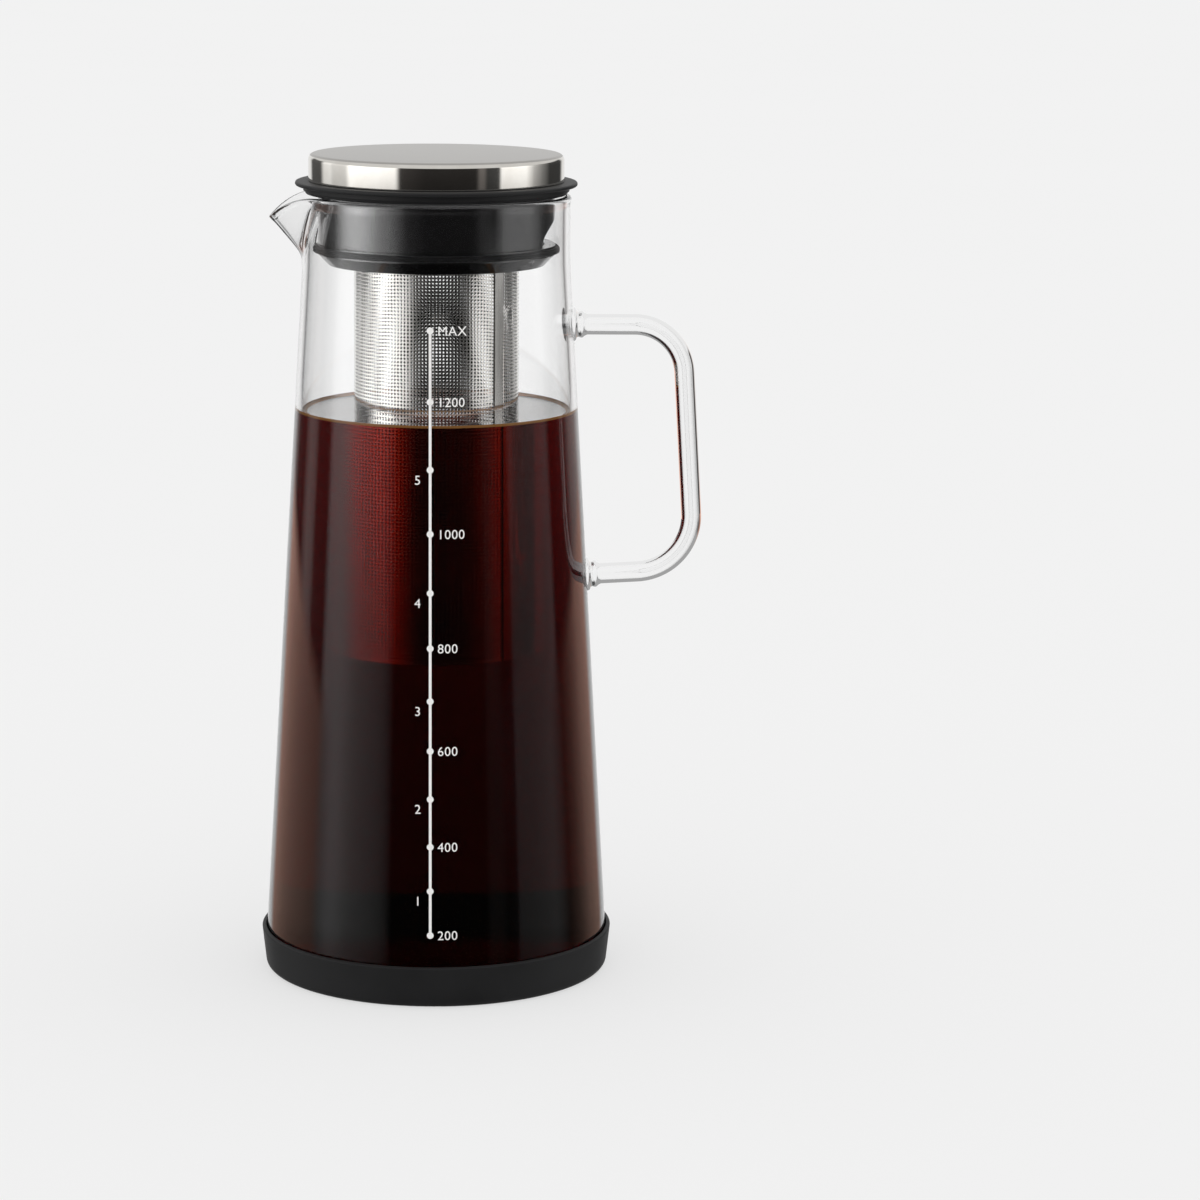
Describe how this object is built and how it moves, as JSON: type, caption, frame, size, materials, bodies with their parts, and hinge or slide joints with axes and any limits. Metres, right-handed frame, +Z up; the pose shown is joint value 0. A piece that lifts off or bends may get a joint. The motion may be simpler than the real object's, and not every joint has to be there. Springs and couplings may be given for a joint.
{
  "type": "cold brew coffee maker",
  "caption": "Tall glass cold brew coffee maker with a spout and glass rod handle, a steel filter tube that hangs from a turning, lift-off lid, and a silicone boot.",
  "frame": {"origin": "centre of the boot's flat underside, on the carafe's axis", "axes": "+Z up along the carafe's axis, +X towards the handle, -X towards the spout"},
  "size_m": [0.1333, 0.1066, 0.2476],
  "materials": {
    "silicone_black": "matte moulded silicone",
    "clear_glass": "clear borosilicate glass",
    "steel_brushed": "brushed top, polished side",
    "steel_perforated": "perforated stainless sheet, satin",
    "plastic_black": "black moulded plastic, satin gloss"
  },
  "bodies": {
    "boot": {"base_boot": "silicone_black"},
    "carafe": {"glass_carafe": "clear_glass", "glass_handle": "clear_glass", "handle_upper_pad": "clear_glass", "handle_lower_pad": "clear_glass"},
    "gasket": {"lid_gasket": "silicone_black"},
    "lid": {"lid_cap": "steel_brushed", "cap_insert": "plastic_black", "lid_flange": "plastic_black", "lid_plug": "plastic_black"},
    "filter": {"filter_collar": "plastic_black", "filter_seal": "silicone_black", "filter_rim": "steel_perforated", "filter_tube": "steel_perforated", "filter_seam": "steel_perforated", "filter_cup": "steel_perforated"}
  },
  "joints": [
    {"name": "carafe_lift", "type": "slide", "parent": "boot", "child": "carafe", "axis": [0, 0, 1], "range_m": [0, 0.03]},
    {"name": "lid_lift", "type": "slide", "parent": "carafe", "child": "gasket", "axis": [0, 0, 1], "range_m": [0, 0.15]},
    {"name": "lid_turn", "type": "hinge", "parent": "gasket", "child": "lid", "pos_m": [0, 0, 0.2367], "axis": [0, 0, 1], "continuous": true},
    {"name": "filter_release", "type": "slide", "parent": "lid", "child": "filter", "axis": [0, 0, -1], "range_m": [0, 0.03]}
  ]
}
